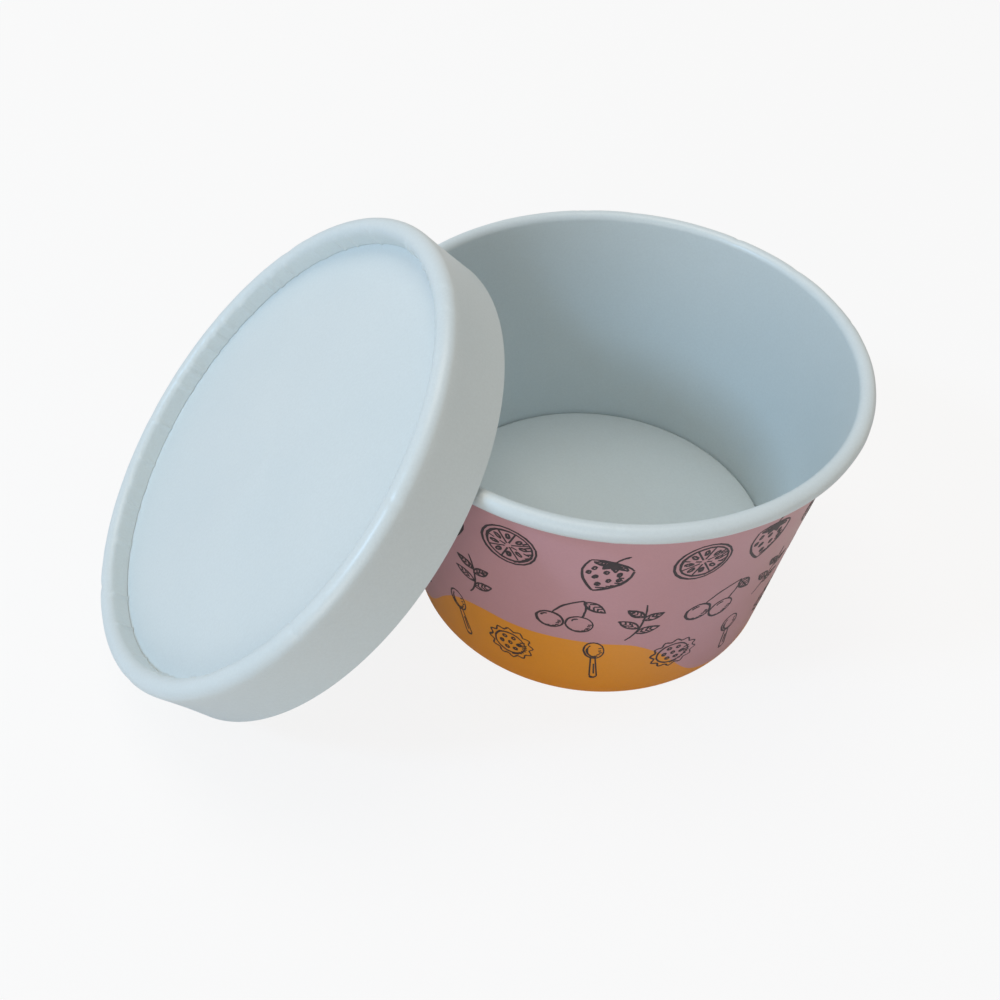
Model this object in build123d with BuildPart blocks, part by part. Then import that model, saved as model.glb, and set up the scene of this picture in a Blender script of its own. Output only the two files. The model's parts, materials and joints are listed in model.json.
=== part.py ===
"""Paper dessert cup with its paper lid taken off and leant on the rim.

Four pieces of coated paper board. The wall is one blank wrapped into a cone, curled outwards at
the top and folded up inside at the foot. It grips the turned-down skirt of the base disc. The lid
is a strip wound into a band, curled inwards at the top over the turned-up flange of a flat disc.
The origin is the centre of the cup's foot, on the table, and the lid leans towards -X.
"""
from build123d import *
from math import asin, atan2, cos, degrees, hypot, radians, sin
import os

# Board, and the glue line between two layers of it
paper = 0.4
glue = 0.1
layer = paper + glue

# Cup
rim_radius = 47.5
cup_height = 57.0
foot_radius = 37.6
rim_curl = 3.2          # outside diameter of the curl
curl_turn = 300.0       # degrees the sheet turns in the curl
floor_height = 7.3      # top of the base disc above the table
hem_height = 6.0        # the wall folded up inside the foot
foot_press = 0.08       # how far the fold of the foot is pressed flat
floor_bend = 0.7        # middle radius of the bend between disc and skirt
skirt_clear = 0.35      # under the skirt's cut edge, above the fold
cup_lap = 8.0           # width of the glued side seam
cup_lap_angle = 60.0    # where the seam stands, about +Z from +X
lap_clear = 0.5         # under the curl's cut edge, above the seam's end

# Lid
lid_clear = 0.7         # between the rim's curl and the band
lid_height = 13.8
lid_recess = 4.5        # disc's top below the border's top
border_width = 3.8
border_outer_bend = 1.9
border_inner_bend = 1.3
lip_clear = 0.5         # under the lip's cut edge, above the disc
flange_height = 3.3
disc_bend = 0.6
lid_lap = 8.0
lid_lap_angle = 115.0   # where the band's seam stands, from the highest point of the lid

# How the lid lies: its open side to the cup, one edge on the table, the disc on the rim
lid_slope = 44.0        # between the lid's disc and the table
rest_gap = 0.2          # between the disc and the curl it rests on

# ---- Cup wall ---------------------------------------------------------------------------------
# Middle line of the sheet, in the plane through the axis: the hem, the fold of the foot, the
# slanted wall and the curl, each tangent to the next.
curl_middle = (rim_curl - paper) / 2
curl_centre = Vector(rim_radius - rim_curl / 2, cup_height - rim_curl / 2)
foot = Vector(foot_radius - paper / 2, 0)
rise = curl_centre - foot
taper = atan2(rise.X, rise.Y) - asin(curl_middle / hypot(rise.X, rise.Y))
up_wall = Vector(sin(taper), cos(taper))
inwards = Vector(-cos(taper), sin(taper))

fold_height = layer + paper / 2 - foot_press
fold_start = foot + up_wall * ((fold_height - layer * sin(taper)) / cos(taper))
fold_centre = fold_start + inwards * layer
hem_foot = fold_start + inwards * (2 * layer)
hem_top = hem_foot + up_wall * ((hem_height - hem_foot.Y) / cos(taper))
curl_start = curl_centre + inwards * curl_middle
curl_end_angle = 180 - degrees(taper) - curl_turn

# The seam is a second layer on the outside, from the foot to just under the curl's cut edge.
curl_low = cup_height - rim_curl / 2 + (curl_middle + paper / 2) * sin(radians(curl_end_angle))
lap_foot = foot - inwards * paper + up_wall * fold_height
lap_top = lap_foot + up_wall * ((curl_low - lap_clear - lap_foot.Y) / cos(taper))
cup_lap_arc = degrees(cup_lap / (foot_radius + rim_radius) * 2)
lap_plane = Plane.XZ.rotated((0, 0, cup_lap_angle))

with BuildPart() as cup_wall:
    with BuildSketch(Plane.XZ) as wall_section:
        with BuildLine() as wall_line:
            Line(hem_top, hem_foot)
            CenterArc(fold_centre, layer, 180 - degrees(taper), 180)
            Line(fold_start, curl_start)
            CenterArc(curl_centre, curl_middle, curl_end_angle, curl_turn)
        trace(line_width=paper)
    revolve(axis=Axis.Z)
    with BuildSketch(lap_plane) as lap_section:
        with BuildLine() as lap_line:
            Line(lap_foot, lap_top)
        trace(line_width=paper)
    revolve(axis=Axis.Z, revolution_arc=cup_lap_arc)
    # The fold is pressed flat where the cup stands on it.
    split(bisect_by=Plane.XY, keep=Keep.TOP)

# ---- Cup base ---------------------------------------------------------------------------------
# A flat disc whose skirt goes down between the wall and the hem, parallel to both.
skirt_foot = fold_centre + up_wall * skirt_clear
skirt_top = skirt_foot + up_wall * ((floor_height - paper / 2 - skirt_foot.Y) / cos(taper))

with BuildPart() as cup_base:
    with BuildSketch(Plane.XZ) as base_section:
        with BuildLine() as base_line:
            FilletPolyline(skirt_foot, skirt_top, (0, skirt_top.Y), radius=floor_bend)
        trace(line_width=paper)
    revolve(axis=Axis.Z)

# ---- Where the lid lies -----------------------------------------------------------------------
# The lid's own axis points out of its top. Its open edge stands on the table, and the underside
# of its disc lies against the highest outer side of the curl.
band_radius = rim_radius + lid_clear + paper
slope = radians(lid_slope)
lid_out = Vector(-sin(slope), 0, cos(slope))
lid_up = Vector(cos(slope), 0, sin(slope))
disc_under = lid_height - lid_recess - paper
mouth_height = band_radius * sin(slope)
curl_depth = disc_under - rest_gap - rim_curl / 2
mouth_x = (curl_depth - (curl_centre.Y - mouth_height) * cos(slope)) / sin(slope) - curl_centre.X
mouth = Vector(mouth_x, 0, mouth_height)
lid_axis = Axis(mouth, lid_out)
lid_section = Plane(origin=mouth, x_dir=lid_up, z_dir=lid_up.cross(lid_out))
lid_lap_side = lid_up.rotate(Axis((0, 0, 0), lid_out), lid_lap_angle)
lid_lap_plane = Plane(origin=mouth, x_dir=lid_lap_side, z_dir=lid_lap_side.cross(lid_out))

# ---- Lid band ---------------------------------------------------------------------------------
# The border's two bends stay within its width.
band_middle = band_radius - paper / 2
border_top = lid_height - paper / 2
border_span = border_width - paper
outer_bend = min(border_outer_bend, 0.58 * border_span)
inner_bend = min(border_inner_bend, 0.4 * border_span)
lip_middle = band_radius - border_width + paper / 2
lip_end = lid_height - lid_recess + lip_clear
lid_lap_top = lid_height - outer_bend - paper
lid_lap_arc = degrees(lid_lap / band_radius)

with BuildPart() as lid_band:
    with BuildSketch(lid_section) as band_section:
        with BuildLine() as band_line:
            FilletPolyline(
                (band_middle, 0), (band_middle, border_top), (lip_middle, border_top), (lip_middle, lip_end),
                radius=(outer_bend, inner_bend),
            )
        trace(line_width=paper)
    revolve(axis=lid_axis)
    with BuildSketch(lid_lap_plane) as band_lap_section:
        with BuildLine() as band_lap_line:
            Line((band_middle + paper, 0), (band_middle + paper, lid_lap_top))
        trace(line_width=paper)
    revolve(axis=lid_axis, revolution_arc=lid_lap_arc)

# ---- Lid disc ---------------------------------------------------------------------------------
# Flat, with a flange turned up behind the lip of the band.
disc_middle = disc_under + paper / 2
flange_middle = lip_middle + layer

with BuildPart() as lid_disc:
    with BuildSketch(lid_section) as disc_section:
        with BuildLine() as disc_line:
            FilletPolyline(
                (0, disc_middle), (flange_middle, disc_middle), (flange_middle, disc_middle + flange_height),
                radius=disc_bend,
            )
        trace(line_width=paper)
    revolve(axis=lid_axis)

# ---- Files ------------------------------------------------------------------------------------
cup_wall.part.label = "cup_wall"
cup_base.part.label = "cup_base"
lid_band.part.label = "lid_band"
lid_disc.part.label = "lid_disc"

os.makedirs("parts", exist_ok=True)
export_step(cup_wall.part, "parts/cup_wall.step")
export_step(cup_base.part, "parts/cup_base.step")
export_step(lid_band.part, "parts/lid_band.step")
export_step(lid_disc.part, "parts/lid_disc.step")
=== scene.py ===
import json
from math import cos, pi, radians, sin, tan
import random

import bmesh
import bpy
import numpy as np
from mathutils import Matrix, Vector

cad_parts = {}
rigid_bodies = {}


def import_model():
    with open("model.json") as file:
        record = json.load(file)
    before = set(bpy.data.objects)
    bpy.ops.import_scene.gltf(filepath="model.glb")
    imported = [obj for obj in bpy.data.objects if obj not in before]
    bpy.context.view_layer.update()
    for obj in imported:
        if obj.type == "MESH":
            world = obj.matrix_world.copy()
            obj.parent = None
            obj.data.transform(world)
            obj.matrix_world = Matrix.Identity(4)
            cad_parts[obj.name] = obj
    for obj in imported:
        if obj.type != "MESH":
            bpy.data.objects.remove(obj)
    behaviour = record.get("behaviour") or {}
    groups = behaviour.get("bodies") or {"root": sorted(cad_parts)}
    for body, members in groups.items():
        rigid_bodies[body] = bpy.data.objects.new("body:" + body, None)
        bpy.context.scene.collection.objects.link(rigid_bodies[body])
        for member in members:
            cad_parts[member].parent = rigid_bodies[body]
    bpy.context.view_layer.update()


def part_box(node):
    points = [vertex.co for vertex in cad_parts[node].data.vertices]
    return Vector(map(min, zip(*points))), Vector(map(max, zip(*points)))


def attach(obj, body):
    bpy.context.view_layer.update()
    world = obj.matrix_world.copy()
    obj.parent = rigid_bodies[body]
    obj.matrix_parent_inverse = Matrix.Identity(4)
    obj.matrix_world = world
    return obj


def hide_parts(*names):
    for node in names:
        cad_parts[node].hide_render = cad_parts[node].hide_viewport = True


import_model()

MM = 0.001
paper = 0.4 * MM
glue = 0.1 * MM
layer = paper + glue

# ---- Sizes read from the frame ------------------------------------------------------------------
wall_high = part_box("cup_wall")[1]
base_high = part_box("cup_base")[1]
band_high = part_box("lid_band")[1]
rim_radius = wall_high.y
cup_height = wall_high.z
floor_height = base_high.z
band_radius = band_high.y

# ---- Sizes of the folds and seams ---------------------------------------------------------------
rim_curl = 3.2 * MM
curl_turn = 300            # degrees
foot_radius = 37.6 * MM
hem_height = 6.0 * MM
foot_press = 0.08 * MM
floor_bend = 0.7 * MM
skirt_clear = 0.35 * MM
cup_lap = (60.0, 71.1)     # start and end of the side seam's second layer, in degrees

lid_height = 13.8 * MM
lid_recess = 4.5 * MM
border_width = 3.8 * MM
outer_bend = 1.9 * MM
inner_bend = 1.3 * MM
lip_show = 0.08 * MM       # of shadow left between the lip and the disc
flange_height = 3.3 * MM
disc_bend = 0.6 * MM
lid_lap = (115.0, 124.4)   # the same for the band's seam
lid_slope = radians(44.0)

lid_out = Vector((-sin(lid_slope), 0, cos(lid_slope)))
lid_up = Vector((cos(lid_slope), 0, sin(lid_slope)))
lid_side = lid_out.cross(lid_up)
mouth = Vector((band_high.x - band_radius * cos(lid_slope), 0, band_radius * sin(lid_slope)))


# ---- Shape tools --------------------------------------------------------------------------------
on_axis = 1e-9             # nearer than this, a point is on the axis
merge_distance = 1e-7
seam_edge = 0.0006         # radians on either side of a seam's step
crease = radians(40)       # a fold sharper than this is shaded sharp
cut_face = 2               # the material number of a cut edge


def line(start, end, count):
    """Points of a straight run, without its last one."""
    start, end = np.array(start, float), np.array(end, float)
    return [start + (end - start) * i / count for i in range(count)]


def arc(centre, radius, start, sweep, count):
    """Points of an arc from the angle start, in degrees, with its last one."""
    angles = np.radians(start + sweep * np.arange(count + 1) / count)
    return [np.array([centre[0] + radius * cos(a), centre[1] + radius * sin(a)]) for a in angles]


def bent(corners, bends, counts, turn=8):
    """A run of straight lines with a rounded bend at each inner corner."""
    corners = [np.array(c, float) for c in corners]
    points, start = [], corners[0]
    for before, corner, after, bend, count in zip(corners, corners[1:], corners[2:], bends, counts):
        into = (corner - before) / np.linalg.norm(corner - before)
        out = (after - corner) / np.linalg.norm(after - corner)
        half = np.arccos(np.clip(into @ out, -1, 1)) / 2
        reach = bend * np.tan(half)
        side = out - into * (out @ into)
        side /= np.linalg.norm(side)
        points += line(start, corner - into * reach, count)
        for t in np.linspace(0, 1, turn + 1)[:-1]:
            a = 2 * half * t
            points.append(corner - into * reach + into * bend * np.sin(a) + side * bend * (1 - np.cos(a)))
        start = corner + out * reach
    return points + line(start, corners[-1], counts[-1]) + [corners[-1]]


def ripples(seed, slow, fast, count):
    """A smooth wave round the ring, between -1 and 1, made of whole numbers of waves."""
    draw = random.Random(seed)
    parts = [(draw.randint(slow, fast), draw.uniform(0, 2 * pi), draw.uniform(0.4, 1))
             for _ in range(count)]
    total = sum(high for _, _, high in parts)
    return lambda angle: sum(high * np.sin(n * angle + phase) for n, phase, high in parts) / total


def puckers(seed, count, narrow, wide):
    """Sharp small folds at uneven places round the ring, from 0 to 1, each narrow to wide degrees."""
    draw = random.Random(seed)
    folds = [(draw.uniform(0, 2 * pi), radians(draw.uniform(narrow, wide)), draw.uniform(0.25, 1))
             for _ in range(count)]

    def height(angle):
        total = np.zeros_like(angle)
        for place, width, high in folds:
            away = (angle - place + pi) % (2 * pi) - pi
            total += high * np.exp(-((away / width) ** 2))
        return np.minimum(total, 1)
    return height


def in_lap(angle, lap):
    """Whether an angle lies on a seam's second layer."""
    return (angle > radians(lap[0])) & (angle < radians(lap[1]))


def face_outwards(mesh, merge=False):
    """Turn a closed mesh's faces outwards, once the points that meet are merged."""
    work = bmesh.new()
    work.from_mesh(mesh)
    if merge:
        bmesh.ops.remove_doubles(work, verts=work.verts, dist=merge_distance)
    bmesh.ops.recalc_face_normals(work, faces=work.faces)
    work.to_mesh(mesh)
    work.free()


def sheet_outline(middle):
    """The closed outline of a sheet round its middle line, with each point's share of the way along
    the sheet, and 1 where it is on the outer face."""
    middle = np.array(middle)
    along = np.gradient(middle, axis=0)
    along /= np.linalg.norm(along, axis=1)[:, None]
    across = np.stack([along[:, 1], -along[:, 0]], axis=1)
    travel = np.concatenate([[0], np.cumsum(np.linalg.norm(np.diff(middle, axis=0), axis=1))])
    share = travel / travel[-1]
    right, left = middle + across * paper / 2, middle - across * paper / 2
    right[middle[:, 0] < on_axis, 0] = 0
    left[middle[:, 0] < on_axis, 0] = 0
    outer = np.concatenate([np.ones(len(right)), np.zeros(len(left))])
    return np.vstack([right, left[::-1]]), np.concatenate([share, share[::-1]]), outer


def turned_sheet(name, middle, place, steps, shape, lap=None, parts=None):
    """A sheet of board turned round an axis: its middle line is given a thickness and revolved.

    shape(share, outer, angle) gives how far points move outwards and upwards, and makes a seam's
    second layer. lap says where that layer is, in degrees. parts(share, outer) gives the
    material's number."""
    outline, shares, outer = sheet_outline(middle)
    angles = list(np.arange(steps) * 2 * pi / steps)
    if lap:
        angles = sorted(angles + [radians(a) + d for a in lap for d in (-seam_edge, seam_edge)])
    verts, faces, marks = [], [], []
    for angle in angles:
        move = np.stack(shape(shares, outer, np.full(len(outline), angle)), axis=1)
        # A point on the axis only moves up or down.
        grid = outline + move * np.where(outline[:, :1] > 0, 1, (0, 1))
        verts += [place(r, angle, z) for r, z in grid]
    count, rings = len(outline), len(angles)
    for k in range(rings):
        for i in range(count):
            j, m = (i + 1) % count, (k + 1) % rings
            faces.append((k * count + i, m * count + i, m * count + j, k * count + j))
            face = parts(shares[i], outer[i]) if parts else 0
            marks.append(cut_face if outer[i] != outer[j] else face)
    mesh = bpy.data.meshes.new(name)
    mesh.from_pydata(verts, [], faces)
    mesh.polygons.foreach_set("material_index", marks)
    face_outwards(mesh, merge=True)
    mesh.shade_smooth()
    mesh.set_sharp_from_angle(angle=crease)
    piece = bpy.data.objects.new(name, mesh)
    bpy.context.scene.collection.objects.link(piece)
    return piece


def on_cup(radius, angle, height):
    """A place on the cup; the fold of the foot is pressed flat on the table."""
    return (radius * cos(angle), radius * sin(angle), max(height, 0.0))


def on_lid(radius, angle, height):
    """A place on the lid, measured from its open edge along its leaning axis."""
    return tuple(mouth + lid_up * (radius * cos(angle)) + lid_side * (radius * sin(angle))
                 + lid_out * height)


# ---- Materials ----------------------------------------------------------------------------------
maths = "ShaderNodeMath"
noise_low, noise_high = 0.3, 0.7     # most of a noise's values lie between these


def colour(code):
    """An sRGB hex colour as linear values."""
    parts = [int(code[i:i + 2], 16) / 255 for i in (1, 3, 5)]
    return tuple(p / 12.92 if p <= 0.04045 else ((p + 0.055) / 1.055) ** 2.4 for p in parts) + (1.0,)


def add(tree, kind, inputs=(), **settings):
    """A node with its settings and what goes into it: values, sockets, or a node, which stands for
    its first output."""
    node = tree.nodes.new(kind)
    for key, value in settings.items():
        setattr(node, key, value)
    for key, value in dict(inputs).items():
        if isinstance(value, bpy.types.Node):
            value = value.outputs[0]
        if isinstance(value, bpy.types.NodeSocket):
            tree.links.new(value, node.inputs[key])
        else:
            node.inputs[key].default_value = value
    return node


def bare_material(name):
    """A new material, and its node tree with nothing in it."""
    material = bpy.data.materials.new(name)
    material.use_nodes = True
    material.node_tree.nodes.clear()
    return material, material.node_tree


cloud_size = 22 * MM       # of the pulp's clouding
press_size = 7 * MM        # of the unevenness left by pressing
press_depth = 0.2 * MM
press_strength = 0.25
# Fibres are about 1 mm long and 0.03 mm wide; they are drawn 0.5 mm wide so that they show.
fibre_size = 0.5 * MM
tooth_depth = 0.06 * MM
tooth_strength = 0.16
fibre_shade = 0.955        # the light that the darkest fibres give back
gloss_swing = 0.05
board_ior = 1.5
film_rough = 0.3


def board(name, tint, patch, rough, coat, ground=None):
    """Bleached cup board under a thin plastic film: a soft satin, faint clouding from the pulp a
    few centimetres wide, a fine tooth of fibres, and a gentle unevenness of the pressed sheet."""
    material, tree = bare_material(name)
    at = add(tree, "ShaderNodeTexCoord").outputs["Object"]
    cloud = add(tree, "ShaderNodeTexNoise", {"Vector": at, "Scale": 1 / cloud_size, "Detail": 3.0})
    fibre = add(tree, "ShaderNodeTexNoise", {"Vector": at, "Scale": 1 / fibre_size, "Detail": 3.0,
                                             "Roughness": 0.65})
    press = add(tree, "ShaderNodeTexNoise", {"Vector": at, "Scale": 1 / press_size, "Detail": 2.0})
    tinted = add(tree, "ShaderNodeMix", {"Factor": cloud, "A": colour(tint), "B": colour(patch)},
                 data_type="RGBA").outputs[2]
    if ground:
        tinted = add(tree, "ShaderNodeMix", {"Factor": 1.0, "A": ground(tree, at), "B": tinted},
                     data_type="RGBA", blend_type="MULTIPLY").outputs[2]
    speck = add(tree, "ShaderNodeMapRange", {
        "Value": fibre, "From Min": noise_low, "From Max": noise_high,
        "To Min": fibre_shade, "To Max": 1.0})
    shade = add(tree, "ShaderNodeMix", {"Factor": 1.0, "A": tinted, "B": speck},
                data_type="RGBA", blend_type="MULTIPLY").outputs[2]
    gloss = add(tree, "ShaderNodeMapRange", {
        "Value": cloud, "From Min": noise_low, "From Max": noise_high,
        "To Min": rough - gloss_swing, "To Max": rough + gloss_swing})
    wave = add(tree, "ShaderNodeBump", {"Height": press, "Strength": press_strength,
                                        "Distance": press_depth})
    tooth = add(tree, "ShaderNodeBump", {"Height": fibre, "Strength": tooth_strength,
                                         "Distance": tooth_depth, "Normal": wave})
    shader = add(tree, "ShaderNodeBsdfPrincipled", {
        "Base Color": shade, "Roughness": gloss, "IOR": board_ior,
        "Coat Weight": coat, "Coat Roughness": film_rough, "Normal": tooth})
    add(tree, "ShaderNodeOutputMaterial", {"Surface": shader})
    return material


amber_waves = 3.0
amber_turn = radians(120)
amber_steep, amber_full = 1.9, 0.8   # how square the waves are, and how much wider than their gaps
amber_swing = 10.4 * MM
amber_middle = 8.0 * MM
wander_size = 12 * MM
wander_depth = 1.8 * MM              # the noise uses about a third of it


def two_ink_ground(tree, at):
    """Dusty pink all round, and amber rising from the foot in three low rounded waves. The edge
    between them wanders by a few tenths of a millimetre."""
    place = add(tree, "ShaderNodeSeparateXYZ", {0: at}).outputs
    angle = add(tree, maths, {0: place["Y"], 1: place["X"]}, operation="ARCTAN2")
    turn = add(tree, maths, {0: angle, 1: amber_turn}, operation="ADD")
    waves = add(tree, maths, {0: turn, 1: amber_waves}, operation="MULTIPLY")
    wave = add(tree, maths, {0: waves}, operation="COSINE")
    steep = add(tree, maths, {0: wave, 1: amber_steep, 2: amber_full}, operation="MULTIPLY_ADD")
    dome = add(tree, maths, {0: steep}, operation="TANH")
    high = add(tree, maths, {0: dome, 1: amber_swing, 2: amber_middle}, operation="MULTIPLY_ADD")
    wander = add(tree, "ShaderNodeTexNoise", {"Vector": at, "Scale": 1 / wander_size, "Detail": 1.0})
    edge = add(tree, maths, {0: wander, 1: wander_depth, 2: high}, operation="MULTIPLY_ADD")
    under = add(tree, maths, {0: place["Z"], 1: edge}, operation="LESS_THAN")
    return add(tree, "ShaderNodeMix", {"Factor": under, "A": colour("#CC9AA1"), "B": colour("#F09C12")},
               data_type="RGBA").outputs[2]


def ink(name, dark, worn, rough):
    """Ink a few microns thick: dark, a little worn, and slightly duller than the filmed ground."""
    material, tree = bare_material(name)
    at = add(tree, "ShaderNodeTexCoord").outputs["Object"]
    wear = add(tree, "ShaderNodeTexNoise", {"Vector": at, "Scale": 1 / wear_size, "Detail": 2.0})
    shade = add(tree, "ShaderNodeMix", {"Factor": wear, "A": colour(dark), "B": colour(worn)},
                data_type="RGBA").outputs[2]
    shader = add(tree, "ShaderNodeBsdfPrincipled", {"Base Color": shade, "Roughness": rough})
    add(tree, "ShaderNodeOutputMaterial", {"Surface": shader})
    return material


wear_size = 0.9 * MM
plain_board = board("Film-coated white cup board", "#DBE5E7", "#D4E0E3", 0.40, 0.15)
printed_board = board("Offset-printed cup board", "#FFFFFF", "#F4F1F0", 0.34, 0.25, two_ink_ground)
# A cut edge shows the bare pulp: dry, a little warmer than the coated faces.
cut_edge = board("Cut edge of cup board", "#DCDDD6", "#D2D3CB", 0.75, 0.0)
line_ink = ink("Black line ink", "#1C1719", "#40363A", 0.4)


def dress(piece, *materials):
    for material in materials:
        piece.data.materials.append(material)


# ---- Cup wall -----------------------------------------------------------------------------------
hem_steps, fold_steps, rise_steps, curl_steps = 6, 10, 30, 34

curl_middle = (rim_curl - paper) / 2
curl_centre = np.array([rim_radius - rim_curl / 2, cup_height - rim_curl / 2])
foot = np.array([foot_radius - paper / 2, 0])
rise = curl_centre - foot
taper = np.arctan2(rise[0], rise[1]) - np.arcsin(curl_middle / np.hypot(*rise))
up_wall = np.array([sin(taper), cos(taper)])
inwards = np.array([-cos(taper), sin(taper)])
fold_height = layer + paper / 2 - foot_press
fold_start = foot + up_wall * ((fold_height - layer * sin(taper)) / cos(taper))
fold_centre = fold_start + inwards * layer
hem_foot = fold_start + inwards * (2 * layer)
hem_top = hem_foot + up_wall * ((hem_height - hem_foot[1]) / cos(taper))
curl_start = curl_centre + inwards * curl_middle
start_angle = 180 - np.degrees(taper)

wall_middle = (line(hem_top, hem_foot, hem_steps)
               + arc(fold_centre, layer, start_angle, 180, fold_steps)[:-1]
               + line(fold_start, curl_start, rise_steps)
               + arc(curl_centre, curl_middle, start_angle, -curl_turn, curl_steps))
wall_travel = np.cumsum([0] + [np.linalg.norm(b - a) for a, b in zip(wall_middle, wall_middle[1:])])
wall_shares = wall_travel / wall_travel[-1]
fold_share = wall_shares[hem_steps + fold_steps]
curl_share = wall_shares[hem_steps + fold_steps + rise_steps]
print_top = wall_shares[hem_steps + fold_steps + rise_steps - 1]
print_start = 0.7          # of the way to the fold's end, so that the print turns in under the foot

wall_sag = ripples(seed=3, slow=2, fast=6, count=5)
curl_wave = ripples(seed=5, slow=9, fast=40, count=9)
curl_nick = puckers(seed=8, count=9, narrow=0.5, wide=1.4)
wall_out_of_round = 0.12 * MM
curl_uneven = 0.05 * MM
curl_shift = 0.3           # radians between the curl's unevenness outwards and upwards
nick_depth = 0.22 * MM
knurl_count = 110
knurl_depth = 0.045 * MM
knurl_share = 0.45         # of the way to the fold's end


def wall_inset(angle, climb):
    """How the wall stands out of round, at a share of its height: nothing at the foot and curl."""
    return -wall_out_of_round * (1 + wall_sag(angle)) * np.sin(pi * climb) ** 2


def wall_shape(share, outer, angle):
    """The wall is a little out of round, the curl is slightly uneven with a few small nicks, and
    the hem is knurled where it was pressed against the base's skirt."""
    climb = np.clip((share - fold_share) / (curl_share - fold_share), 0, 1)
    on_wall = (share > fold_share) & (share < print_top) & (outer > 0.5)
    second_layer = np.where(in_lap(angle, cup_lap) & on_wall, paper, 0)
    crown = np.sin(pi * np.clip((share - curl_share) / (1 - curl_share), 0, 1))
    swell = curl_uneven * (1 + curl_wave(angle)) * crown
    sink = (curl_uneven * (1 + curl_wave(angle + curl_shift)) + nick_depth * curl_nick(angle)) * crown
    knurl = np.where(share < fold_share * knurl_share, knurl_depth * np.sin(knurl_count * angle), 0)
    return wall_inset(angle, climb) + second_layer - swell + knurl, -sink


def wall_print(share, outer):
    """1 on the printed face, which runs from just inside the foot to just below the curl."""
    return int(outer > 0.5 and fold_share * print_start < share < print_top)


cup_wall = turned_sheet("cup_wall_skin", wall_middle, on_cup, 432, wall_shape, cup_lap, wall_print)
dress(cup_wall, plain_board, printed_board, cut_edge)

# ---- Cup base -----------------------------------------------------------------------------------
skirt_foot = fold_centre + up_wall * skirt_clear
skirt_top = skirt_foot + up_wall * ((floor_height - paper / 2 - skirt_foot[1]) / cos(taper))
base_middle = bent([skirt_foot, skirt_top, (0, skirt_top[1])], [floor_bend], [5, 26])
dish = ripples(seed=12, slow=2, fast=5, count=4)
dish_depth = 0.16 * MM
dish_uneven = 0.5
dish_start, dish_run = 0.25, 0.5     # shares of the way from the skirt's edge to the middle


def base_shape(share, outer, angle):
    """Drawing the skirt leaves the disc very slightly dished and uneven."""
    flat = np.clip((share - dish_start) / dish_run, 0, 1)
    down = dish_depth * flat * (1 + dish_uneven * dish(angle) * (1 - flat))
    return np.zeros_like(angle), -down


cup_base = turned_sheet("cup_base_skin", base_middle, on_cup, 288, base_shape)
dress(cup_base, plain_board, plain_board, cut_edge)

# ---- Lid band -----------------------------------------------------------------------------------
band_middle_radius = band_radius - paper / 2
lip_radius = band_radius - border_width + paper / 2
border_top = lid_height - paper / 2
lip_end = lid_height - lid_recess + lip_show
band_middle = bent([(band_middle_radius, 0), (band_middle_radius, border_top), (lip_radius, border_top),
                    (lip_radius, lip_end)], [outer_bend, inner_bend], [14, 4, 5], turn=10)
band_sag = ripples(seed=21, slow=2, fast=7, count=5)
border_wave = ripples(seed=23, slow=14, fast=60, count=12)
border_dent = puckers(seed=26, count=14, narrow=0.5, wide=1.6)
lip_pucker = puckers(seed=29, count=60, narrow=0.25, wide=0.8)
# Shares of the way along the strip, from its open edge over the border to the lip.
side_run = 0.55
border_run = 0.25
lap_top = 0.5
crown_start, crown_run = 0.5, 0.35
lip_start, lip_run = 0.76, 0.1
band_out_of_round = 0.09 * MM
border_uneven = 0.05 * MM
dent_depth = 0.2 * MM
pucker_depth = 0.42 * MM
lip_uneven = 0.03 * MM


def band_shape(share, outer, angle):
    """The strip is a little out of round, its border is unevenly curled, and the lip inside has
    the fine upright puckers of board gathered to a smaller ring."""
    side = np.clip(share / side_run, 0, 1)
    border = np.clip((share - side_run) / border_run, 0, 1)
    crown = np.sin(pi * np.clip((share - crown_start) / crown_run, 0, 1))
    lip = np.clip((share - lip_start) / lip_run, 0, 1)
    sag = band_out_of_round * (1 + band_sag(angle)) * np.sin(pi * side) * (1 - border)
    second_layer = np.where(in_lap(angle, lid_lap) & (share < lap_top) & (outer > 0.5), paper, 0)
    gather = lip * (pucker_depth * lip_pucker(angle) + lip_uneven * (1 + border_wave(angle)))
    sink = crown * (border_uneven * (1 + border_wave(angle)) + dent_depth * border_dent(angle))
    return second_layer - sag - gather, -sink


lid_band = turned_sheet("lid_band_skin", band_middle, on_lid, 720, band_shape, lid_lap)
dress(lid_band, plain_board, plain_board, cut_edge)

# ---- Lid disc -----------------------------------------------------------------------------------
disc_middle_height = lid_height - lid_recess - paper / 2
flange_radius = lip_radius + layer
disc_middle = bent([(0, disc_middle_height), (flange_radius, disc_middle_height),
                    (flange_radius, disc_middle_height + flange_height)], [disc_bend], [30, 4])
disc_swell = ripples(seed=33, slow=2, fast=4, count=4)
swell_height = 0.8 * MM
swell_uneven = 0.9
swell_edge = 0.86          # share of the way from the middle to the flange's edge
swell_power = 1.5


def disc_shape(share, outer, angle):
    """Free of its flange, the disc lifts into a shallow uneven swell."""
    reach = np.clip(share / swell_edge, 0, 1)
    lift = (1 - reach ** 2) ** swell_power
    return np.zeros_like(angle), swell_height * lift * (1 + swell_uneven * disc_swell(angle) * reach)


lid_disc = turned_sheet("lid_disc_skin", disc_middle, on_lid, 360, disc_shape)
dress(lid_disc, plain_board, plain_board, cut_edge)


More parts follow.
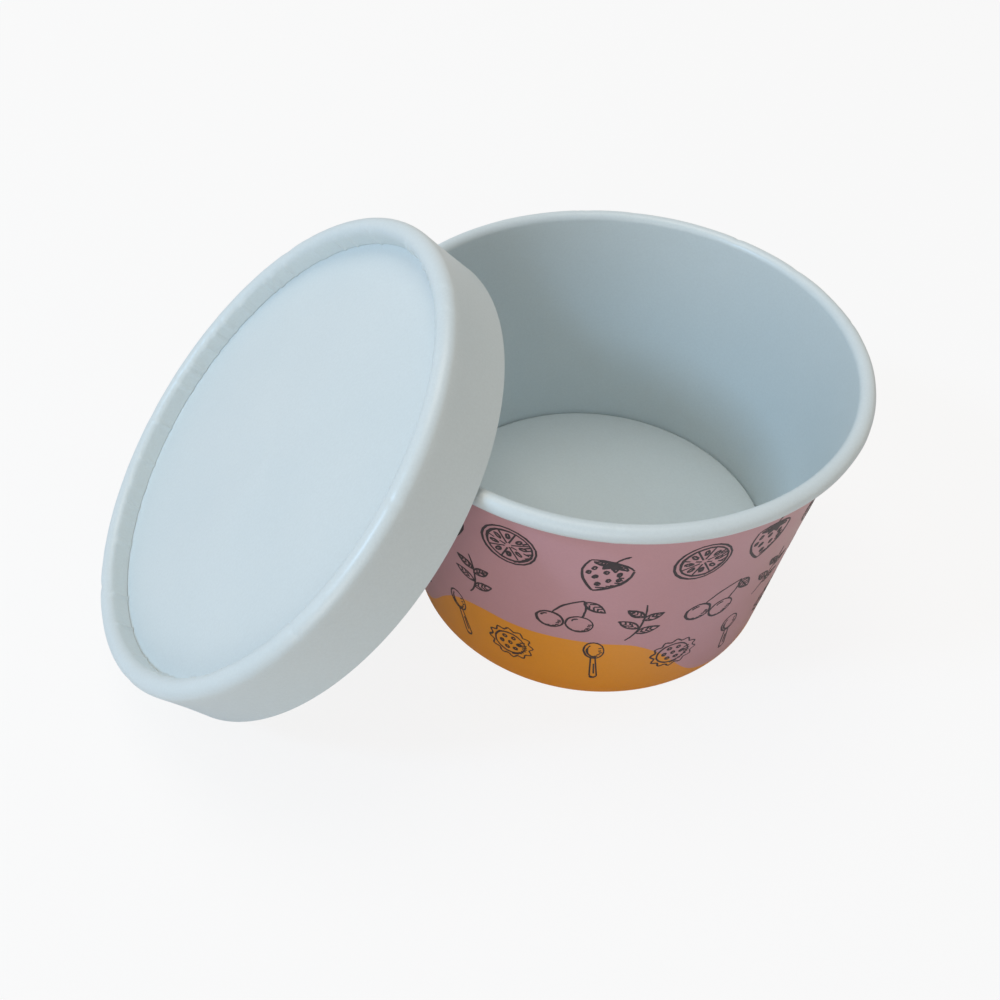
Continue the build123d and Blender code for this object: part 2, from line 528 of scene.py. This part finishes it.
# ---- Print: fine line drawings round the wall, drawn in millimetres ----------------------------
def loop(x, y, across, high, start=0, end=360, lean=0):
    """Points of an ellipse or part of one, turned by lean degrees."""
    step = 18
    count = max(5, int(abs(end - start) / step) + 1)
    c, s = cos(radians(lean)), sin(radians(lean))
    points = []
    for i in range(count):
        a = radians(start + (end - start) * i / (count - 1))
        u, v = across * cos(a), high * sin(a)
        points.append((x + c * u - s * v, y + s * u + c * v))
    return points


def curve(*corners, count=9):
    """A smooth line through the pull of its corners."""
    points = []
    for i in range(count):
        t, row = i / (count - 1), [Vector(c) for c in corners]
        while len(row) > 1:
            row = [a.lerp(b, t) for a, b in zip(row, row[1:])]
        points.append(tuple(row[0]))
    return points


def hatch(x, y, across, high, count):
    """Short shading lines inside the lower right of a round form."""
    first, sweep, inside, length = -75, 95, 0.86, 0.42
    lean, drop = radians(50), 0.3
    lines = []
    for i in range(count):
        a = radians(first + sweep * i / (count - 1))
        px, py = x + across * inside * cos(a), y + high * inside * sin(a)
        d = length * min(across, high)
        lines.append([(px, py), (px - d * cos(lean), py - d * sin(lean) * drop)])
    return lines


def leaf(x, y, long, wide, lean):
    """Two bowed edges, a midrib and three pairs of veins, from the stalk outwards."""
    c, s = cos(radians(lean)), sin(radians(lean))
    belly, bow = 0.4, 1.3
    vein_starts, vein_run, vein_spread = (0.25, 0.45, 0.62), 0.16, 0.5

    def at(u, v):
        return (x + c * u - s * v, y + s * u + c * v)

    veins = [[at(long * t, 0), at(long * (t + vein_run), wide * vein_spread * k)]
             for t in vein_starts for k in (-1, 1)]
    return [curve(at(0, 0), at(long * belly, wide * bow), at(long, 0)),
            curve(at(0, 0), at(long * belly, -wide * bow), at(long, 0)),
            [at(0, 0), at(long, 0)]] + veins


cherries = ([loop(-2.5, -2.7, 2.2, 2.1), loop(2.3, -1.9, 2.2, 2.2),
             curve((-2.5, -0.8), (-1.8, 2.6), (1.4, 4.9)), curve((2.2, 0.2), (2.6, 2.8), (1.4, 4.9)),
             loop(-3.1, -2.1, 0.9, 0.8, 100, 190), loop(1.7, -1.2, 0.9, 0.8, 100, 190)]
            + hatch(-2.5, -2.7, 2.2, 2.1, 7) + hatch(2.3, -1.9, 2.2, 2.2, 7)
            + leaf(1.4, 4.7, 4.2, 1.5, -28))
citrus = ([loop(0, 0, 4.3, 4.2), loop(0, 0, 3.6, 3.5)]
          + [[(0.5 * cos(a), 0.5 * sin(a)), (3.4 * cos(a), 3.3 * sin(a))]
             for a in np.radians(range(10, 370, 45))]
          + [loop(2.3 * cos(a), 2.2 * sin(a), 0.55, 0.25, lean=np.degrees(a))
             for a in np.radians(range(32, 392, 45))]
          + hatch(0, 0, 4.3, 4.2, 8))
sprig = ([curve((-1.5, -5.2), (1.2, -1.5), (-0.2, 5.2))]
         + leaf(-0.4, -3.0, 4.0, 1.3, 25) + leaf(-0.2, -1.6, 4.0, 1.3, 152)
         + leaf(0.1, 0.6, 3.6, 1.2, 35) + leaf(0.1, 1.5, 3.6, 1.2, 145))
seeds = ((-1.9, 0.6), (0, 0.2), (1.9, 0.6), (-1.1, -1.4), (1.0, -1.4), (0, -3.0), (-2.3, -0.7),
         (2.3, -0.7))
strawberry = ([curve((-3.3, 2.2), (-4.4, -1.6), (-0.9, -4.2), (0, -4.8)),
               curve((3.3, 2.2), (4.4, -1.6), (0.9, -4.2), (0, -4.8)),
               curve((-3.3, 2.2), (-1.6, 3.4), (1.6, 3.4), (3.3, 2.2)),
               curve((0, 3.0), (0.2, 4.4), (1.2, 5.2))]
              + leaf(0, 2.9, 2.8, 0.8, 200) + leaf(0, 2.9, 2.6, 0.8, -20)
              + leaf(0, 2.9, 2.2, 0.7, 245) + leaf(0, 2.9, 2.2, 0.7, -62)
              + [loop(x, y, 0.24, 0.38) for x, y in seeds] + hatch(0.3, -0.8, 3.0, 3.4, 7))
spoon = ([loop(0, 3.2, 1.7, 2.4), loop(0, 3.1, 1.15, 1.8, 120, 300),
          [(-0.4, 0.9), (-0.55, -5.0)], [(0.4, 0.9), (0.6, -5.0)],
          loop(0, -5.0, 0.6, 0.5, 180, 360), [(0, -1.0), (0, -4.2)]]
         + hatch(0, 3.2, 1.7, 2.4, 6))
biscuit_edge = [(a, 3.9 + 0.35 * cos(12 * a)) for a in np.linspace(0, 2 * pi, 73)]
biscuit = ([[(cos(a) * r, sin(a) * r) for a, r in biscuit_edge], loop(0, 0, 2.9, 2.9)]
           + [loop(1.7 * cos(a), 1.7 * sin(a), 0.33, 0.33) for a in np.radians(range(0, 360, 60))]
           + [loop(0, 0, 0.33, 0.33)] + hatch(0, 0, 3.6, 3.6, 9))
line_drawings = {"cherries": cherries, "citrus": citrus, "sprig": sprig, "strawberry": strawberry,
                 "spoon": spoon, "biscuit": biscuit}

drawing_size = 1.16
stroke_width = 0.38
ink_high = 0.03
ink_deep = 0.12            # how far a ribbon reaches into the board, so that it never floats
slip = 0.13                # between a stroke and its second drawing
tremble = 0.05
tiny = 1e-9                # keeps the side of a stroke from being divided by nothing


def inked(name, strokes):
    """Pen strokes as thin closed ribbons, each curved one drawn twice, as in a sketch."""
    draw = random.Random(name)
    verts, faces = [], []
    for stroke in strokes:
        for _ in range(2 if len(stroke) > 4 else 1):
            dx, dy = draw.uniform(-slip, slip), draw.uniform(-slip, slip)
            points = [drawing_size * np.array([x + dx + draw.uniform(-tremble, tremble),
                                               y + dy + draw.uniform(-tremble, tremble)])
                      for x, y in stroke]
            first = len(verts)
            for i, point in enumerate(points):
                ahead = points[min(i + 1, len(points) - 1)] - points[max(i - 1, 0)]
                side = np.array([-ahead[1], ahead[0]]) / (np.linalg.norm(ahead) + tiny)
                pressure = 0.55 + 0.45 * sin(pi * (i + 0.5) / len(points))
                half = stroke_width / 2 * pressure * draw.uniform(0.85, 1.15)
                for way, high in ((1, -ink_deep), (-1, -ink_deep), (-1, ink_high), (1, ink_high)):
                    spot = point + side * half * way
                    verts.append((spot[0] * MM, spot[1] * MM, high * MM))
            last = first + 4 * (len(points) - 1)
            faces += [(i + k, i + (k + 1) % 4, i + 4 + (k + 1) % 4, i + 4 + k)
                      for i in range(first, last, 4) for k in range(4)]
            faces += [(first + 3, first + 2, first + 1, first), (last, last + 1, last + 2, last + 3)]
    mesh = bpy.data.meshes.new(name)
    mesh.from_pydata(verts, [], faces)
    face_outwards(mesh)
    return bpy.data.objects.new(name, mesh)


def print_tree():
    """Sets the drawings out in staggered rows on the flat blank, then wraps the blank to the cone."""
    tree = bpy.data.node_groups.new("Print wrapped round the wall", "GeometryNodeTree")
    sockets = {"Drawings": "Collection", "Kinds": "Int", "Columns": "Int", "Rows": "Int",
               "Round": "Float", "Row Space": "Float", "Middle": "Float", "Foot Radius": "Float",
               "Taper": "Float", "Scatter": "Vector", "Lean": "Float", "Seed": "Int", "Ink": "Material"}
    for name, kind in sockets.items():
        tree.interface.new_socket(name, in_out="INPUT", socket_type="NodeSocket" + kind)
    tree.interface.new_socket("Geometry", in_out="OUTPUT", socket_type="NodeSocketGeometry")
    given = add(tree, "NodeGroupInput").outputs

    # A grid of places on the flat blank, every second row half a gap further on.
    gap = add(tree, maths, {0: given["Round"], 1: given["Columns"]}, operation="DIVIDE")
    wide = add(tree, maths, {0: given["Round"], 1: gap}, operation="SUBTRACT")
    spaces = add(tree, maths, {0: given["Rows"], 1: 1.0}, operation="SUBTRACT")
    high = add(tree, maths, {0: given["Row Space"], 1: spaces}, operation="MULTIPLY")
    grid = add(tree, "GeometryNodeMeshGrid", {
        "Size X": wide, "Size Y": high, "Vertices X": given["Columns"], "Vertices Y": given["Rows"]})
    index = add(tree, "GeometryNodeInputIndex")
    row = add(tree, maths, {0: index, 1: given["Rows"]}, operation="MODULO")
    odd = add(tree, maths, {0: row, 1: 2.0}, operation="MODULO")
    half_gap = add(tree, maths, {0: gap, 1: 0.5}, operation="MULTIPLY")
    stagger = add(tree, maths, {0: odd, 1: half_gap}, operation="MULTIPLY")
    step = add(tree, "ShaderNodeCombineXYZ", {0: stagger, 1: given["Middle"]})

    # Each place is a little off the grid.
    less = add(tree, "ShaderNodeVectorMath", {0: given["Scatter"], 1: (-1.0, -1.0, -1.0)},
               operation="MULTIPLY")
    jog = add(tree, "FunctionNodeRandomValue", {0: less, 1: given["Scatter"], "Seed": given["Seed"]},
              data_type="FLOAT_VECTOR")
    shift = add(tree, "ShaderNodeVectorMath", {0: step, 1: jog}, operation="ADD")
    spots = add(tree, "GeometryNodeSetPosition", {"Geometry": grid, "Offset": shift})

    # The kinds of drawing take turns, and each leans its own way.
    chosen = add(tree, "GeometryNodeCollectionInfo", {
        "Collection": given["Drawings"], "Separate Children": True, "Reset Children": True})
    other_seed = add(tree, maths, {0: given["Seed"], 1: 1.0}, operation="ADD")
    left = add(tree, maths, {0: given["Lean"], 1: -1.0}, operation="MULTIPLY")
    lean = add(tree, "FunctionNodeRandomValue", {2: left, 3: given["Lean"], "Seed": other_seed},
               data_type="FLOAT").outputs[1]
    lean = add(tree, "FunctionNodeEulerToRotation", {0: add(tree, "ShaderNodeCombineXYZ", {2: lean})})
    kind = add(tree, maths, {0: index, 1: given["Kinds"]}, operation="MODULO")
    copies = add(tree, "GeometryNodeInstanceOnPoints", {
        "Points": spots, "Instance": chosen, "Pick Instance": True, "Instance Index": kind,
        "Rotation": lean})
    flat = add(tree, "GeometryNodeRealizeInstances", {0: copies})

    # Along the blank becomes round the cone, and up the blank becomes up it.
    at = add(tree, "ShaderNodeSeparateXYZ", {0: add(tree, "GeometryNodeInputPosition")}).outputs
    turn = add(tree, maths, {0: at["X"], 1: given["Round"]}, operation="DIVIDE")
    angle = add(tree, maths, {0: turn, 1: 2 * pi}, operation="MULTIPLY")
    cone = add(tree, maths, {0: at["Y"], 1: given["Taper"], 2: given["Foot Radius"]},
               operation="MULTIPLY_ADD")
    radius = add(tree, maths, {0: cone, 1: at["Z"]}, operation="ADD")
    cosine = add(tree, maths, {0: angle}, operation="COSINE")
    sine = add(tree, maths, {0: angle}, operation="SINE")
    x = add(tree, maths, {0: radius, 1: cosine}, operation="MULTIPLY")
    y = add(tree, maths, {0: radius, 1: sine}, operation="MULTIPLY")
    round_cup = add(tree, "ShaderNodeCombineXYZ", {0: x, 1: y, 2: at["Y"]})
    wrapped = add(tree, "GeometryNodeSetPosition", {"Geometry": flat, "Position": round_cup})
    inky = add(tree, "GeometryNodeSetMaterial", {"Geometry": wrapped, "Material": given["Ink"]})
    add(tree, "NodeGroupOutput", {0: inky})
    return tree


def lay_on_wall(mesh):
    """The print follows the wall where the wall is slightly out of round or lapped."""
    spots = np.empty(len(mesh.vertices) * 3)
    mesh.vertices.foreach_get("co", spots)
    spots = spots.reshape(-1, 3)
    angle = np.arctan2(spots[:, 1], spots[:, 0]) % (2 * pi)
    climb = np.clip(spots[:, 2] / curl_start[1], 0, 1)
    out = wall_inset(angle, climb) + np.where(in_lap(angle, cup_lap), paper, 0)
    spots[:, 0] += np.cos(angle) * out
    spots[:, 1] += np.sin(angle) * out
    mesh.vertices.foreach_set("co", spots.ravel())
    mesh.update()


drawings = bpy.data.collections.new("Line drawings")
bpy.context.scene.collection.children.link(drawings)
for name, strokes in line_drawings.items():
    drawings.objects.link(inked(name, strokes))

holder = bpy.data.objects.new("print_holder", bpy.data.meshes.new("print_holder"))
bpy.context.scene.collection.objects.link(holder)
spread = holder.modifiers.new("Print", "NODES")
spread.node_group = print_tree()
girth = 2 * pi * (foot_radius + cup_height / 2 * tan(taper))     # round the wall at half its height
values = {"Drawings": drawings, "Kinds": len(line_drawings), "Columns": 17, "Rows": 3,
          "Round": girth, "Row Space": 15.2 * MM, "Middle": 27.6 * MM,
          "Foot Radius": foot_radius, "Taper": tan(taper), "Scatter": (2.0 * MM, 1.5 * MM, 0.0),
          "Lean": 0.5, "Seed": 4, "Ink": line_ink}
for item in spread.node_group.interface.items_tree:
    if item.in_out == "INPUT":
        spread[item.identifier] = values[item.name]
bpy.context.view_layer.update()
print_mesh = bpy.data.meshes.new_from_object(holder.evaluated_get(bpy.context.evaluated_depsgraph_get()))
lay_on_wall(print_mesh)
cup_print = bpy.data.objects.new("cup_print_lines", print_mesh)
bpy.context.scene.collection.objects.link(cup_print)
bpy.data.objects.remove(holder)
for drawing in list(drawings.objects):
    bpy.data.objects.remove(drawing)
bpy.data.collections.remove(drawings)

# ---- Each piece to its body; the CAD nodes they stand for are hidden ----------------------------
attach(cup_wall, "root")
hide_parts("cup_wall")
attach(cup_print, "root")
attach(cup_base, "root")
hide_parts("cup_base")
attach(lid_band, "root")
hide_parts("lid_band")
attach(lid_disc, "root")
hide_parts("lid_disc")

# ---- Floor --------------------------------------------------------------------------------------
floor_reach = 30.0
floor_drop = 0.05 * MM     # keeps the floor clear of the foot
floor_glow = 0.86          # share of plain white in what the camera sees of the floor
white = (1.0, 1.0, 1.0, 1.0)


def floor_paint():
    """Matt white studio paint, which the camera sees nearly white but with its shadows."""
    material, tree = bare_material("Matt white studio floor")
    matt = add(tree, "ShaderNodeBsdfDiffuse", {"Color": colour("#E8E8E8")})
    seen = add(tree, "ShaderNodeLightPath").outputs["Is Camera Ray"]
    glow = add(tree, "ShaderNodeEmission", {"Color": white, "Strength": seen})
    share = add(tree, maths, {0: seen, 1: floor_glow}, operation="MULTIPLY")
    both = add(tree, "ShaderNodeMixShader", {0: share, 1: matt, 2: glow})
    add(tree, "ShaderNodeOutputMaterial", {"Surface": both})
    return material


floor_mesh = bpy.data.meshes.new("floor")
floor_mesh.from_pydata([(-floor_reach, -floor_reach, 0), (floor_reach, -floor_reach, 0),
                        (floor_reach, floor_reach, 0), (-floor_reach, floor_reach, 0)],
                       [], [(0, 1, 2, 3)])
floor_mesh.materials.append(floor_paint())
floor = bpy.data.objects.new("floor", floor_mesh)
floor.location.z = -floor_drop
bpy.context.scene.collection.objects.link(floor)

# ---- Light --------------------------------------------------------------------------------------
fill_strength = 0.37
light_target = Vector((0, 0, 0.03))

world = bpy.data.worlds.new("Studio")
bpy.context.scene.world = world
world.use_nodes = True
sky = world.node_tree
sky.nodes.clear()
path = add(sky, "ShaderNodeLightPath").outputs
seen_white = add(sky, maths, {0: path["Is Camera Ray"], 1: path["Is Glossy Ray"]}, operation="MAXIMUM")
fill = add(sky, "ShaderNodeBackground", {"Color": colour("#FFF9F2"), "Strength": fill_strength})
backdrop = add(sky, "ShaderNodeBackground", {"Color": white, "Strength": 1.0})
room = add(sky, "ShaderNodeMixShader", {0: seen_white, 1: fill, 2: backdrop})
add(sky, "ShaderNodeOutputWorld", {"Surface": room})


def softbox(name, place, size, power, tint):
    """A square studio light at place, turned to the cup."""
    lamp = bpy.data.lights.new(name, "AREA")
    lamp.shape = "SQUARE"
    lamp.size = size
    lamp.energy = power
    lamp.color = colour(tint)[:3]
    stand = bpy.data.objects.new(name, lamp)
    stand.location = place
    stand.rotation_euler = (light_target - Vector(place)).to_track_quat("-Z", "Y").to_euler()
    bpy.context.scene.collection.objects.link(stand)


softbox("window light", (-1.0, -0.12, 0.88), size=0.20, power=5.6, tint="#B0DAFF")
softbox("overhead light", (-0.12, 0.32, 1.25), size=0.7, power=4.6, tint="#FFF7EC")
softbox("front fill", (-0.65, -1.15, 0.40), size=0.8, power=3.8, tint="#FFF8F0")

# ---- Camera -------------------------------------------------------------------------------------
eye = Vector((-0.0600, -0.1568, 0.1856))
aim = Vector((-0.02321, -0.00977, 0.030))
roll = radians(2.874)

lens = bpy.data.cameras.new("camera")
lens.lens = 40.63
lens.sensor_width = 36
camera = bpy.data.objects.new("camera", lens)
back = (eye - aim).normalized()
level = Vector((0, 0, 1)).cross(back).normalized()
right = level * cos(roll) + back.cross(level) * sin(roll)
turned = Matrix((right, back.cross(right), back)).transposed()
camera.matrix_world = Matrix.Translation(eye) @ turned.to_4x4()
bpy.context.scene.collection.objects.link(camera)
bpy.context.scene.camera = camera
bpy.context.scene.view_settings.view_transform = "Standard"
